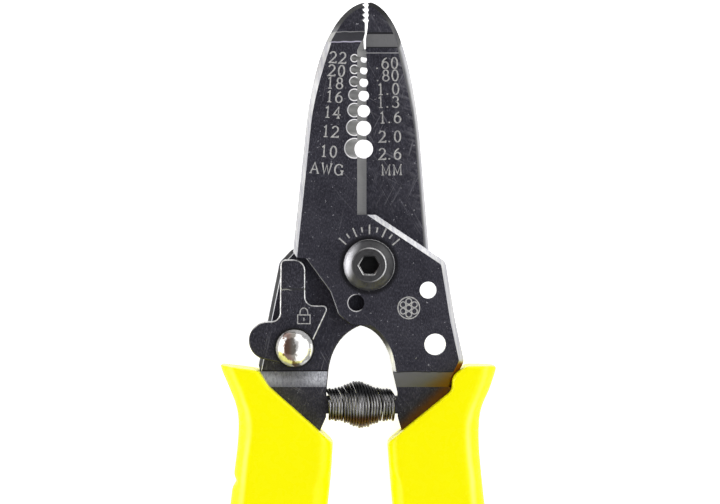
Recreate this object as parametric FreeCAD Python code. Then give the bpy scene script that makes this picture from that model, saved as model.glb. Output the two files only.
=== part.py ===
"""Wire stripper for solid and stranded wire: two halves cut from 2.4 mm plate that cross at one pivot.

The tool lies on its back. +Y points at the jaws' tip, +Z out of the marked face, and Z = 0 is the surface that
it lies on. The origin is the middle of its footprint. Outlines are drawn from the pivot axis, and every solid
is moved by PIVOT when it is written. Millimetres.

The front half is the left blade with the right handle, the rear half is the right blade with the left handle.
The halves lie on each other at the pivot. At the nose and in the handles both step into one middle plane.
"""
import FreeCAD, Part
import math
import os

V = FreeCAD.Vector

# ---- driving dimensions -------------------------------------------------------------------------------------
PIVOT = (1.8, 37.5)            # the pivot axis, from the middle of the footprint

PLATE_T = 2.4                  # both plates
PLATE_GAP = 0.1                # running gap between them
GRIP_T = 10.4                  # thickness of a grip
Z_MID = GRIP_T / 2
REAR_Z = Z_MID - PLATE_GAP / 2 - PLATE_T      # underside of the rear plate
FRONT_Z = Z_MID + PLATE_GAP / 2               # underside of the front plate
TANG_Z = Z_MID - PLATE_T / 2                  # underside of both in the middle plane
STEP = FRONT_Z - TANG_Z                       # how far each plate is joggled
FRONT_NOSE = (36.0, 37.7)      # from and to, along Y, of the joggle at the nose
REAR_NOSE = (35.3, 37.3)
HANDLE_STEP = (-17.2, -19.7)   # the same at the handles
BLADE_CHAMFER = 0.75
HANDLE_CHAMFER = 0.8
EYE_CHAMFER = 0.6              # on the front plate's side of the gap under the pivot
EDGE_BREAK = 0.15              # on the edges that are only deburred

TIP_Y = 42.5
FRONT_EDGE_X = -0.4            # cutting edge of the front blade
REAR_EDGE_X = (-1.05, -0.8)    # cutting edge of the rear blade at its lower and upper end
FRONT_JAW_X = -0.65            # tooth tips of the plier nose
REAR_JAW_X = -0.2
BLADE_ROOT_Y = 8.1             # lower end of the cutting edges
BLADE_TOP_Y = 34.6
BEVEL = 1.5                    # width of the ground bevel, which takes up the whole plate thickness
BEVEL_TOP_Y = 36.8
TOOTH_PITCH = 0.85
FRONT_TOOTH_DEPTH = 0.5
REAR_TOOTH_DEPTH = 0.22
TEETH = 4

# (wire diameter, place along Y) of the stripping holes, from the smallest
WIRES = [(0.6, 33.3), (0.8, 31.5), (1.0, 29.55), (1.3, 27.4), (1.6, 24.95), (2.0, 22.15), (2.6, 18.8)]
WIRE_X = -0.84
HOLE_OVER_WIRE = 0.4           # a stripping hole is this much larger than the bare wire

EYE_Y = -18.2                  # lower end of both arcs of the gap under the pivot
LOOP_HOLES = [(9.53, -4.05, 1.37), (10.66, -12.8, 1.75)]      # X, Y, radius
BLIND_HOLE = (-2.05, -6.1, 1.3)

SHANK_R = 2.5                  # pivot screw
SHANK_PLAY = 0.05
THREAD_R = 2.0
HEAD_R = 4.15
HEAD_TOP_R = 2.75
HEAD_H = 2.2
HEX_AF = 3.0
HEX_DEPTH = 2.2
NUT_AF = 8.0
NUT_T = 2.0
WASHER_R = 4.6
WASHER_T = 0.4
FACE_PLAY = 0.05               # between faces that slide on each other
FIT = 0.02                     # around pins that stand still in their hole

LOCK_AT = (-12.0, -13.4)       # rivet axis
LEVER_T = 1.8
LEVER_BEND_Y = -4.1            # the arm's end is bent up by LEVER_LIFT from here
LEVER_LIFT = 0.3
RIVET_R = 1.4
RIVET_HEAD_R = 3.0
RIVET_HEAD_H = 1.9
RIVET_TAIL_R = 2.2
RIVET_TAIL_H = 0.9
LOCK_WASHER_R = 3.3
LOCK_WASHER_T = 0.3

SPRING_Y = -22.6               # axis of the return spring
SPRING_X = (-6.75, 4.45)       # its two ends
SPRING_END_R = 2.85            # outer radius at the ends
SPRING_MID_R = 3.8             # and at its barrel
SPRING_BORE_R = 2.2
SEAT_W = 2.8                   # prong on each handle that the spring sits on
SEAT_L = 2.4

TANG_END_Y = -108.0
TANG_PLAY = 0.05               # between a tang's two faces and its grip, which is tight on its edges
GRIP_FILLET = 2.6


# ---- outline helpers ----------------------------------------------------------------------------------------
def corner_arc(before, at, after, radius):
    """Start, middle and end of the arc that rounds a corner between two straight runs."""
    to_before = (before - at).normalize()
    to_after = (after - at).normalize()
    half = to_before.getAngle(to_after) / 2
    start = at + to_before * (radius / math.tan(half))
    end = at + to_after * (radius / math.tan(half))
    centre = at + (to_before + to_after).normalize() * (radius / math.sin(half))
    middle = centre + (at - centre).normalize() * radius
    return start, middle, end


def outline(steps):
    """A closed flat face. A step is (x, y), (x, y, corner radius), ("arc", through, end) or
    ("bezier", pole, pole, end). The first step is a plain point."""
    ends = [V(*(step[-1] if isinstance(step[0], str) else step[:2]), 0) for step in steps]
    edges = []
    here = ends[0]
    count = len(steps)
    for i in range(1, count + 1):
        step = steps[i % count]
        target = ends[i % count]
        if step[0] == "arc":
            edges.append(Part.Arc(here, V(*step[1], 0), target).toShape())
        elif step[0] == "bezier":
            curve = Part.BezierCurve()
            curve.setPoles([here, V(*step[1], 0), V(*step[2], 0), target])
            edges.append(curve.toShape())
        elif len(step) == 3 and i < count:
            start, middle, end = corner_arc(here, target, ends[(i + 1) % count], step[2])
            edges.append(Part.makeLine(here, start))
            edges.append(Part.Arc(start, middle, end).toShape())
            target = end
        else:
            edges.append(Part.makeLine(here, target))
        here = target
    return Part.Face(Part.Wire(edges))


def slab(face, low, high):
    """The face, raised from height low to height high."""
    lifted = face.copy()
    lifted.translate(V(0, 0, low))
    return lifted.extrude(V(0, 0, high - low))


def disc(x, y, radius, low, high):
    return Part.makeCylinder(radius, high - low, V(x, y, low))


def hexagon(x, y, across_flats, low, high):
    radius = across_flats / math.sqrt(3)
    corners = [V(x + radius * math.cos(a), y + radius * math.sin(a), low)
               for a in [math.radians(60 * i) for i in range(7)]]
    return Part.Face(Part.makePolygon(corners)).extrude(V(0, 0, high - low))


def side_profile(bottom, nose, direction, grow=0.0):
    """Everything between the two faces of a joggled plate, wider than the tool. direction is +1 for the plate
    that steps up into the middle plane and -1 for the one that steps down."""
    shift = direction * STEP
    lower = [(60, shift), (nose[1], shift), (nose[0], 0), (HANDLE_STEP[0], 0), (HANDLE_STEP[1], shift),
             (-130, shift)]
    loop = [(y, z + bottom - grow) for y, z in lower]
    loop += [(y, z + bottom + PLATE_T + grow) for y, z in reversed(lower)]
    points = [V(-40, y, z) for y, z in loop]
    return Part.Face(Part.makePolygon(points + points[:1])).extrude(V(80, 0, 0))


def rim_edges(shape, test):
    """Edges between a wall and either face of the plate that don't run straight across it and pass the test,
    which is given the edge's middle and +1 on the upper face or -1 on the lower one."""
    found = []
    for face in shape.Faces:
        normal = face.normalAt(*[(face.ParameterRange[i] + face.ParameterRange[i + 1]) / 2 for i in (0, 2)])
        if abs(normal.z) < 0.6:
            continue
        for edge in face.OuterWire.Edges:
            middle = edge.valueAt((edge.FirstParameter + edge.LastParameter) / 2)
            across = edge.BoundBox.YLength < 1e-4 and any(abs(middle.y - y) < 1e-4 for y in STEP_LINES)
            if not across and edge.Length > 0.05 and test(middle, math.copysign(1, normal.z)):
                found.append(edge)
    return found


# ---- outlines, from the pivot axis --------------------------------------------------------------------------
def teeth(x, side, top, depth):
    """Zigzag down one jaw from its tip. side is +1 where the teeth point to +X."""
    points = []
    for i in range(TEETH):
        y = top - i * TOOTH_PITCH
        points.append((x - side * depth, y))
        points.append((x, y - TOOTH_PITCH * 0.55))
    return points


FRONT_OUTLINE = (
    [(FRONT_JAW_X, TIP_Y)]
    + [("bezier", (-5.3, 41.7), (-8.75, 34.4), (-10.1, 22.6))]
    + [(-12.25, 2.1), (-11.6, 1.2), (-10.15, 1.1), (-6.2, -4.3, 3.0), (-4.9, -8.0, 1.5)]
    + [(-2.9, -9.75, 1.2), (-1.4, -9.75)]
    + [("bezier", (1.1, -10.2), (3.3, -12.7), (3.75, -17.0))]
    + [(4.6, -20.6), (4.65, -24.6), (5.8, -28.6, 3.0), (6.3, -34.0)]
    + [("bezier", (8.8, -60.0), (9.6, -84.0), (9.3, TANG_END_Y + 2.0))]
    + [("arc", (12.0, TANG_END_Y), (14.7, TANG_END_Y + 2.0))]
    + [("bezier", (17.4, -84.0), (16.8, -55.0), (14.7, -34.0))]
    + [(13.6, -19.0, 1.5), (15.35, -15.5, 1.4), (13.9, -9.0, 40.0), (12.35, 0.55, 1.6)]
    + [(1.1, BLADE_ROOT_Y), (FRONT_EDGE_X, BLADE_ROOT_Y), (FRONT_EDGE_X, BLADE_TOP_Y)]
    + [(-0.8, 35.0), (-0.9, 36.5), (FRONT_JAW_X, 37.6)]
    + list(reversed(teeth(FRONT_JAW_X, 1, TIP_Y - 0.35, FRONT_TOOTH_DEPTH)))
)
REAR_OUTLINE = (
    [(REAR_JAW_X, TIP_Y - 0.1)]
    + teeth(REAR_JAW_X, -1, TIP_Y - 0.35, REAR_TOOTH_DEPTH)
    + [(REAR_JAW_X, 38.4), (-0.5, 36.6), (-0.5, 35.1), (REAR_EDGE_X[1], BLADE_TOP_Y), (REAR_EDGE_X[0], BLADE_ROOT_Y)]
    + [(-2.6, BLADE_ROOT_Y), (-12.9, 2.2), (-14.6, 0.4, 1.6), (-16.1, -7.0, 40.0), (-17.95, -16.1)]
    + [(-16.9, -20.0, 2.0), (-17.8, -34.0)]
    + [("bezier", (-20.0, -55.0), (-20.9, -84.0), (-18.7, TANG_END_Y + 2.0))]
    + [("arc", (-15.9, TANG_END_Y), (-13.1, TANG_END_Y + 2.0))]
    + [("bezier", (-13.4, -84.0), (-12.0, -60.0), (-9.3, -34.0))]
    + [(-8.7, -28.6, 3.0), (-6.95, -24.6), (-6.9, -20.6), (-6.55, -17.0)]
    + [("bezier", (-6.0, -13.2), (-4.2, -10.9), (-1.2, -9.75))]
    + [(2.9, -9.75, 1.2), (4.9, -8.0, 1.5), (6.2, -4.3, 3.0), (9.85, 0.6), (8.25, 20.5)]
    + [("bezier", (6.9, 33.8), (4.3, 41.2), (REAR_JAW_X + 0.6, TIP_Y))]
)


# ---- plates -------------------------------------------------------------------------------------------------
def bevel_cutter(edge_x, side, sharp_z, far_z):
    """The ground bevel of a blade and of its stripping holes. side is +1 where the blade lies at -X of its
    edge; the edge is at height sharp_z and the bevel opens towards far_z."""
    lower, upper = edge_x
    out = side * 6

    def section(y, x):
        corners = [V(x, y, sharp_z), V(x - side * BEVEL, y, far_z), V(x + out, y, far_z), V(x + out, y, sharp_z)]
        return Part.makePolygon(corners + corners[:1])

    straight = Part.makeLoft([section(BLADE_ROOT_Y, lower), section(BLADE_TOP_Y, upper)], True, True)
    tip = V(upper - side * 0.45, BEVEL_TOP_Y, far_z)
    first = section(BLADE_TOP_Y, upper)
    corners = [v.Point for v in first.OrderedVertexes]
    faces = [Part.Face(first)]
    for i, corner in enumerate(corners):
        after = corners[(i + 1) % len(corners)]
        faces.append(Part.Face(Part.makePolygon([corner, after, tip, corner])))
    run_out = Part.Solid(Part.Shell(faces))
    cutter = straight.fuse(run_out)
    for wire, y in WIRES:
        radius = (wire + HOLE_OVER_WIRE) / 2
        rings = [Part.Wire(Part.makeCircle(radius, V(WIRE_X - side * BEVEL * part, y,
                                                     sharp_z + (far_z - sharp_z) * part)))
                 for part in (-0.05, 1.05)]
        cutter = cutter.fuse(Part.makeLoft(rings, True, True))
    return cutter


STEP_LINES = FRONT_NOSE + REAR_NOSE + HANDLE_STEP


def chamfer(shape, size, test):
    edges = rim_edges(shape, test)
    if not edges:
        return shape
    done = shape.makeChamfer(size, edges)
    if not done.isValid() or done.Volume >= shape.Volume:
        raise ValueError("chamfer failed")
    return done


def plate(steps, bottom, nose, direction, chamfers):
    """A joggled plate, cut zone by zone along Y so that each zone gets its chamfers as a plain slab.
    chamfers are pairs of a size and a test for rim_edges."""
    blank = slab(outline(steps), -1, 12).common(side_profile(bottom, nose, direction))
    lines = [60, nose[1], nose[0], HANDLE_STEP[0], HANDLE_STEP[1], -130]
    zones = []
    for high, low in zip(lines, lines[1:]):
        zone = blank.common(Part.makeBox(80, high - low, 12, V(-40, low, 0)))
        for size, test in chamfers:
            zone = chamfer(zone, size, test)
        zones.append(zone)
    whole = zones[0].fuse(zones[1:]).removeSplitter()
    return whole


def spring_seat(shape, end_x, side):
    """The plate with a prong that stands into the spring's end. side is +1 where the prong points to +X."""
    prong = Part.makeBox(SEAT_L + 1.5, SEAT_W, PLATE_T)
    prong = prong.makeChamfer(0.5, [e for e in prong.Edges if e.CenterOfMass.x > SEAT_L + 1.4
                                    and e.BoundBox.ZLength > 1])
    if side < 0:
        prong.rotate(V(0, SEAT_W / 2, PLATE_T / 2), V(0, 0, 1), 180)
    prong.translate(V(end_x - side * 1.5, SPRING_Y - SEAT_W / 2, TANG_Z))
    return shape.fuse(prong).removeSplitter()


def drilled(shape, holes, low, high):
    for x, y, radius in holes:
        shape = shape.cut(disc(x, y, radius, low, high))
    return shape


front = plate(FRONT_OUTLINE, FRONT_Z, FRONT_NOSE, -1, [
    (BLADE_CHAMFER, lambda p, up: up > 0 and p.x < -3.2 and p.y > 3),
    (HANDLE_CHAMFER, lambda p, up: up > 0 and p.x > 3 and -21 < p.y < 7.5 and (p.x > 9 or p.y > 3)),
    (EYE_CHAMFER, lambda p, up: up > 0 and 0 < p.x < 4.5 and -17.2 < p.y < -10.0),
    (EDGE_BREAK, lambda p, up: up > 0 and -11 < p.x < -2 and -25 < p.y < 0.9),
])
front = front.cut(bevel_cutter((FRONT_EDGE_X, FRONT_EDGE_X), 1, FRONT_Z, FRONT_Z + PLATE_T))
front = drilled(front, LOOP_HOLES + [BLIND_HOLE, (0, 0, SHANK_R + SHANK_PLAY)], 0, 12)
rear = plate(REAR_OUTLINE, REAR_Z, REAR_NOSE, 1, [
    (BLADE_CHAMFER, lambda p, up: up > 0 and p.x > 1.8 and p.y > 1),
    (HANDLE_CHAMFER, lambda p, up: up > 0 and p.x < -13.4 and -16 < p.y < 2),
    (EDGE_BREAK, lambda p, up: up > 0 and -9 < p.x < 0 and -25 < p.y < -9.9),
])
rear = rear.cut(bevel_cutter(REAR_EDGE_X, -1, REAR_Z + PLATE_T, REAR_Z))
rear = drilled(rear, [(0, 0, SHANK_R + SHANK_PLAY), (*LOCK_AT, RIVET_R + FIT)], 0, 12)

front = spring_seat(front, SPRING_X[1] + 0.1, -1)
rear = spring_seat(rear, SPRING_X[0] - 0.1, 1)

# ---- pivot screw, washer and nut ----------------------------------------------------------------------------
head_z = FRONT_Z + PLATE_T + FACE_PLAY
washer_z = REAR_Z - FACE_PLAY - WASHER_T
nut_z = washer_z - NUT_T
head = Part.makeCone(HEAD_R, HEAD_TOP_R, HEAD_H - 0.5, V(0, 0, head_z + 0.35))
head = head.fuse([disc(0, 0, HEAD_R, head_z, head_z + 0.35), disc(0, 0, HEAD_TOP_R, head_z + 1, head_z + HEAD_H)])
screw = head.fuse([disc(0, 0, SHANK_R, washer_z + WASHER_T, head_z), disc(0, 0, THREAD_R, nut_z, head_z)])
screw = screw.cut(hexagon(0, 0, HEX_AF, head_z + HEAD_H - HEX_DEPTH, head_z + 9)).removeSplitter()
washer = disc(0, 0, WASHER_R, washer_z, washer_z + WASHER_T)
washer = washer.cut(disc(0, 0, THREAD_R + FIT, 0, 12))
nut = hexagon(0, 0, NUT_AF, nut_z, washer_z)
corner_trim = Part.makeCone(NUT_AF * 0.5, NUT_AF * 0.5 + NUT_T * 1.8, NUT_T, V(0, 0, nut_z))
nut = nut.common(corner_trim).cut(disc(0, 0, THREAD_R + FIT, 0, 12))

# ---- locking lever and its rivet ----------------------------------------------------------------------------
lever_z = REAR_Z + PLATE_T + FACE_PLAY
LEVER_OUTLINE = [
    (-12.5, 0.9), (-14.25, 0.9, 0.9), (-14.4, -9.0, 1.3), (-16.7, -9.1),
    ("arc", (-19.4, -12.1), (-16.7, -15.25)), ("bezier", (-15.9, -15.4), (-15.0, -15.55), (-13.6, -15.95)),
    ("arc", (-10.6, -15.6), (-9.3, -12.8)),
    (-6.35, -6.5, 0.7), (-10.25, -6.5, 1.4), (-10.25, 0.9, 1.8),
]
bend = [(5, LEVER_LIFT), (LEVER_BEND_Y + 0.4, LEVER_LIFT), (LEVER_BEND_Y, 0), (-20, 0)]
loop = [(y, z + lever_z) for y, z in bend]
loop += [(y, z + LEVER_T) for y, z in reversed(loop)]
profile = [V(-40, y, z) for y, z in loop]
lever = slab(outline(LEVER_OUTLINE), 0, 12)
lever = lever.common(Part.Face(Part.makePolygon(profile + profile[:1])).extrude(V(80, 0, 0)))
lever = lever.cut(disc(*LOCK_AT, RIVET_R + SHANK_PLAY, 0, 12))

lock_washer_z = lever_z + LEVER_T + FACE_PLAY
rivet_z = lock_washer_z + LOCK_WASHER_T
dome_r = (RIVET_HEAD_R ** 2 + RIVET_HEAD_H ** 2) / (2 * RIVET_HEAD_H)
dome = Part.makeSphere(dome_r, V(*LOCK_AT, rivet_z + RIVET_HEAD_H - dome_r)).common(
    disc(*LOCK_AT, RIVET_HEAD_R, rivet_z, rivet_z + 5))
rivet = dome.fuse([disc(*LOCK_AT, RIVET_R, REAR_Z - 0.1, rivet_z),
                   disc(*LOCK_AT, RIVET_TAIL_R, REAR_Z - RIVET_TAIL_H, REAR_Z)]).removeSplitter()
lock_washer = disc(*LOCK_AT, LOCK_WASHER_R, lock_washer_z, rivet_z).cut(disc(*LOCK_AT, RIVET_R + FIT, 0, 12))

# ---- return spring, as the closed shape of its coil ---------------------------------------------------------
middle_x = sum(SPRING_X) / 2
ends = [V(x, SPRING_Y + r, Z_MID) for x, r in
        ((SPRING_X[0], SPRING_BORE_R), (SPRING_X[0], SPRING_END_R), (SPRING_X[1], SPRING_END_R),
         (SPRING_X[1], SPRING_BORE_R))]
barrel = Part.Arc(ends[1], V(middle_x, SPRING_Y + SPRING_MID_R, Z_MID), ends[2]).toShape()
section = Part.Wire([Part.makeLine(ends[0], ends[1]), barrel, Part.makeLine(ends[2], ends[3]),
                     Part.makeLine(ends[3], ends[0])])
spring = Part.Face(section).revolve(V(0, SPRING_Y, Z_MID), V(1, 0, 0), 360)

# ---- grips --------------------------------------------------------------------------------------------------
# (Y, outer X, inner X, thickness) of sections, from above the mouth down to the rounded end
LEFT_SECTIONS = [
    (-13.0, -24.9, -5.0, 10.4), (-16.9, -23.7, -5.1, 10.4), (-19.5, -22.6, -5.3, 10.4),
    (-23.4, -21.2, -5.6, 10.4), (-28.0, -21.1, -5.8, 10.4), (-34.0, -21.8, -6.15, 10.4),
    (-42.0, -22.7, -7.0, 10.4), (-60.0, -24.3, -8.9, 10.4), (-82.0, -25.0, -9.9, 10.4),
    (-101.0, -24.4, -9.9, 10.4), (-110.5, -23.4, -10.3, 10.2), (-114.8, -21.9, -11.5, 9.2),
    (-116.9, -19.9, -13.4, 7.0), (-117.5, -18.0, -15.3, 4.6),
]
RIGHT_SECTIONS = [
    (-13.0, 21.6, 2.3, 10.4), (-17.0, 20.4, 2.4, 10.4), (-20.0, 19.4, 2.5, 10.4),
    (-23.4, 18.0, 2.7, 10.4), (-28.0, 17.7, 2.9, 10.4), (-34.0, 18.15, 3.35, 10.4),
    (-42.0, 19.0, 4.05, 10.4), (-60.0, 20.6, 5.7, 10.4), (-82.0, 21.4, 6.5, 10.4),
    (-101.0, 20.8, 6.5, 10.4), (-110.5, 19.8, 6.8, 10.2), (-114.8, 18.3, 8.0, 9.2),
    (-116.9, 16.3, 9.9, 7.0), (-117.5, 14.4, 11.8, 4.6),
]
LEFT_MOUTH = [(-30, -15.15), (-17.8, -16.9, 0.7), (-16.1, -19.5, 2.0), (-5.9, -28.5, 1.0),
              (-4.5, -34.0), (0.0, -125.0), (-30.0, -125.0)]
RIGHT_MOUTH = [(30, -16.15), (15.7, -16.15), (14.3, -17.6, 1.0), (13.8, -19.8, 1.2), (3.0, -28.5, 1.0),
               (2.0, -34.0), (0.0, -125.0), (30.0, -125.0)]


def grip_section(y, outer, inner, thick):
    """A rounded rectangle across the handle, always drawn from the same corner."""
    x0, x1 = sorted((outer, inner))
    z0, z1 = Z_MID - thick / 2 - 0.05, Z_MID + thick / 2 + 0.05      # the slab cut makes both faces truly flat
    r = min(GRIP_FILLET, 0.42 * thick, 0.42 * (x1 - x0))
    k = r * (1 - math.sqrt(0.5))
    points = [(x0 + r, z0), (x1 - r, z0), (x1 - k, z0 + k), (x1, z0 + r), (x1, z1 - r), (x1 - k, z1 - k),
              (x1 - r, z1), (x0 + r, z1), (x0 + k, z1 - k), (x0, z1 - r), (x0, z0 + r), (x0 + k, z0 + k)]
    p = [V(x, y, z) for x, z in points]
    edges = []
    for i in range(0, 12, 3):
        edges.append(Part.makeLine(p[i], p[i + 1]))
        edges.append(Part.Arc(p[i + 1], p[i + 2], p[(i + 3) % 12]).toShape())
    return Part.Wire(edges)


def smoothed(sections, parts=3):
    """The sections with more between them, on a smooth curve through them."""
    out = []
    for i in range(len(sections) - 1):
        before = sections[max(i - 1, 0)]
        a, b = sections[i], sections[i + 1]
        after = sections[min(i + 2, len(sections) - 1)]
        for step in range(parts):
            t = step / parts
            out.append(tuple(
                0.5 * (2 * q + (r - p) * t + (2 * p - 5 * q + 4 * r - s) * t * t + (3 * q - p - 3 * r + s) * t ** 3)
                for p, q, r, s in zip(before, a, b, after)))
    out.append(sections[-1])
    return [(y, outer, inner, min(thick, GRIP_T)) for y, outer, inner, thick in out]


def grip(sections, mouth, tang_steps, bottom, nose, direction):
    """A moulded sleeve, cut off at its mouth and hollow where the tang goes."""
    body = Part.makeLoft([grip_section(*s) for s in smoothed(sections)], True, True)
    body = body.common(slab(outline(mouth), 0, GRIP_T))
    hollow = slab(outline(tang_steps), -1, 12).common(side_profile(bottom, nose, direction, TANG_PLAY))
    return body.cut(hollow)


left_grip = grip(LEFT_SECTIONS, LEFT_MOUTH, REAR_OUTLINE, REAR_Z, REAR_NOSE, 1)
right_grip = grip(RIGHT_SECTIONS, RIGHT_MOUTH, FRONT_OUTLINE, FRONT_Z, FRONT_NOSE, -1)

# ---- write --------------------------------------------------------------------------------------------------
os.makedirs("parts", exist_ok=True)
solids = {
    "front_plate": front, "rear_plate": rear, "pivot_screw": screw, "pivot_washer": washer, "pivot_nut": nut,
    "lock_lever": lever, "lock_rivet": rivet, "lock_washer": lock_washer, "return_spring": spring,
    "left_grip": left_grip, "right_grip": right_grip,
}
for name, shape in solids.items():
    shape = shape.copy()
    shape.translate(V(*PIVOT, 0))
    print(name, shape.isValid(), len(shape.Solids), round(shape.Volume, 1), shape.BoundBox)
    shape.exportStep("parts/" + name + ".step")
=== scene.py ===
import math
import random

import bpy
import bmesh
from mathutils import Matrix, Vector


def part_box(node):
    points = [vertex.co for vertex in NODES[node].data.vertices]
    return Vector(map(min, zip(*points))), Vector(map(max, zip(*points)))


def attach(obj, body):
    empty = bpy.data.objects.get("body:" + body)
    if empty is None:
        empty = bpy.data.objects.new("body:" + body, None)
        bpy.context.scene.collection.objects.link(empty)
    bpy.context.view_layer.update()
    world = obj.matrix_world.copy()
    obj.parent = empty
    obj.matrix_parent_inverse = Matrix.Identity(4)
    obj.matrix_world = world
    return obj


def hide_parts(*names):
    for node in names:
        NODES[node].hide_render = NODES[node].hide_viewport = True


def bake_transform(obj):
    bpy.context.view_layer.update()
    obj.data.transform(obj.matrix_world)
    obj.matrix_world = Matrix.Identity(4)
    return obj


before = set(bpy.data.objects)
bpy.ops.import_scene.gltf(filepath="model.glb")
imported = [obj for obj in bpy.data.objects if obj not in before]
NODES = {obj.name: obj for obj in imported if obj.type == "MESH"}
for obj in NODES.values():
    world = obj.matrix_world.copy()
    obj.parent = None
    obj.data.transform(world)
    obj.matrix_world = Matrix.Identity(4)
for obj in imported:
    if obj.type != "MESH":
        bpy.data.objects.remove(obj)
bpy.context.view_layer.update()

MM = 0.001
random.seed(7)


def centre(node):
    low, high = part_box(node)
    return (low + high) / 2


PIVOT = centre("pivot_screw")
RIVET = centre("lock_rivet")
# Upper faces of the two plates and the lever, mm
FRONT_TOP = 7.65
REAR_TOP = 5.15
LEVER_TOP = 7.0
# The notches: wire diameter and place along Y, mm, then their places along X on the face and on the bevel
WIRES = ((0.6, 33.3), (0.8, 31.5), (1.0, 29.55), (1.3, 27.4), (1.6, 24.95), (2.0, 22.15), (2.6, 18.8))
NOTCH_ON_FACE = -2.34
NOTCH_ON_BEVEL = -0.85
BLIND_HOLE = (-2.05, -6.1)
# The upward part of the normal on each kind of a plate's faces
FLAT = (0.97, 0.99)
SLOPED = (0.78, 0.93)
CHAMFERED = (0.64, 0.76)
CURVED = (0.64, 0.88)
GROUND = (0.19, 0.62)
# Depth of the finest relief in the metal, m
FINE = 0.00002


def at(x, y, z=0.0):
    """A place given in mm from the pivot axis, in the frame."""
    return Vector((PIVOT.x + x * MM, PIVOT.y + y * MM, z * MM))


# ---- node helpers --------------------------------------------------------------------------------
class Nodes:
    """A material's node tree with short calls for what the materials here need."""

    def __init__(self, name):
        self.material = bpy.data.materials.new(name)
        self.material.use_nodes = True
        self.tree = self.material.node_tree
        self.shader = self.tree.nodes["Principled BSDF"]
        self.place = self.add("ShaderNodeTexCoord").outputs["Object"]

    def add(self, kind, **values):
        node = self.tree.nodes.new(kind)
        for key, value in values.items():
            setattr(node, key, value)
        return node

    def link(self, source, target):
        self.tree.links.new(source, target)

    def put(self, node, name, value):
        if isinstance(value, bpy.types.NodeSocket):
            self.link(value, node.inputs[name])
        else:
            node.inputs[name].default_value = value

    def mapped(self, scale=(1, 1, 1), turn=0.0, shift=(0, 0, 0)):
        """Object coordinates in mm, turned about Z by degrees, then scaled and shifted."""
        place = self.place
        if turn:
            turned = self.add("ShaderNodeMapping")
            self.link(place, turned.inputs["Vector"])
            turned.inputs["Rotation"].default_value = (0, 0, math.radians(-turn))
            place = turned.outputs["Vector"]
        node = self.add("ShaderNodeMapping")
        self.link(place, node.inputs["Vector"])
        node.inputs["Location"].default_value = shift
        node.inputs["Scale"].default_value = [s / MM for s in scale]
        return node.outputs["Vector"]

    def noise(self, vector, scale=1.0, detail=2.0, rough=0.5):
        node = self.add("ShaderNodeTexNoise")
        self.link(vector, node.inputs["Vector"])
        node.inputs["Scale"].default_value = scale
        node.inputs["Detail"].default_value = detail
        node.inputs["Roughness"].default_value = rough
        return node.outputs["Fac"]

    def cells(self, vector, scale):
        """The distance from the nearest of many scattered points."""
        node = self.add("ShaderNodeTexVoronoi", feature="F1")
        self.link(vector, node.inputs["Vector"])
        node.inputs["Scale"].default_value = scale
        return node.outputs["Distance"]

    def math(self, operation, a, b=0.0, clamp=False):
        node = self.add("ShaderNodeMath", operation=operation, use_clamp=clamp)
        self.put(node, 0, a)
        self.put(node, 1, b)
        return node.outputs[0]

    def times(self, a, b):
        return self.math("MULTIPLY", a, b)

    def plus(self, a, b):
        return self.math("ADD", a, b)

    def rest(self, value):
        """What is left of one."""
        return self.math("SUBTRACT", 1.0, value)

    def band(self, value, low, high, out_low=0.0, out_high=1.0):
        """The value's place between low and high, as a smooth step from out_low to out_high."""
        node = self.add("ShaderNodeMapRange", interpolation_type="SMOOTHSTEP")
        for name, v in (("Value", value), ("From Min", low), ("From Max", high), ("To Min", out_low),
                        ("To Max", out_high)):
            self.put(node, name, v)
        return node.outputs[0]

    def mix(self, factor, a, b):
        node = self.add("ShaderNodeMix", data_type="RGBA")
        self.put(node, 0, factor)
        self.put(node, 6, a)
        self.put(node, 7, b)
        return node.outputs[2]

    def grey(self, value):
        """A value as a colour."""
        node = self.add("ShaderNodeCombineColor")
        for channel in range(3):
            self.put(node, channel, value)
        return node.outputs[0]

    def bump(self, height, strength, distance):
        node = self.add("ShaderNodeBump")
        self.link(height, node.inputs["Height"])
        node.inputs["Strength"].default_value = strength
        node.inputs["Distance"].default_value = distance
        return node.outputs["Normal"]

    def from_pivot(self):
        """The place in mm from the pivot axis, as three values."""
        node = self.add("ShaderNodeSeparateXYZ")
        self.link(self.mapped((1, 1, 1), 0, (-PIVOT.x / MM, -PIVOT.y / MM, 0)), node.inputs[0])
        return node.outputs[0], node.outputs[1], node.outputs[2]

    def radius(self, axis):
        """Distance in mm from a vertical axis."""
        node = self.add("ShaderNodeVectorMath", operation="LENGTH")
        self.link(self.mapped((1, 1, 0), 0, (-axis.x / MM, -axis.y / MM, 0)), node.inputs[0])
        return node.outputs["Value"]

    def ring_vector(self, axis):
        """A vector that changes only with the distance from a vertical axis."""
        node = self.add("ShaderNodeCombineXYZ")
        self.link(self.radius(axis), node.inputs[0])
        return node.outputs[0]

    def facing(self):
        """The true normal's X and Z."""
        node = self.add("ShaderNodeSeparateXYZ")
        self.link(self.add("ShaderNodeNewGeometry").outputs["True Normal"], node.inputs[0])
        return node.outputs[0], node.outputs[2]


def rgb(r, g, b):
    return (r, g, b, 1.0)


# The notch rims' colour: rubbed bare steel, painted white as a highlight
RUBBED_AND_HIGHLIT = rgb(0.95, 0.95, 0.97)


# ---- materials -----------------------------------------------------------------------------------
def scratches(n, turn, seed, spread, length=0.06, fine=2.6):
    """Thin hair scratches in one direction, in patches."""
    lines = n.noise(n.mapped((length, fine, 0.3), turn, (seed, seed * 2, 0)), 1.0, 3.0, 0.6)
    hair = n.band(lines, 0.615, 0.66)
    patch = n.noise(n.mapped((1, 1, 1), 0, (seed * 3, seed, 5)), spread, 1.0)
    return n.times(hair, n.band(patch, 0.5, 0.68))


def between(n, value, low, high, soft):
    """One between low and high, falling to nothing over the soft width."""
    rise = n.band(value, low - soft, low + soft)
    return n.times(rise, n.band(value, high - soft, high + soft, 1.0, 0.0))


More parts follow.
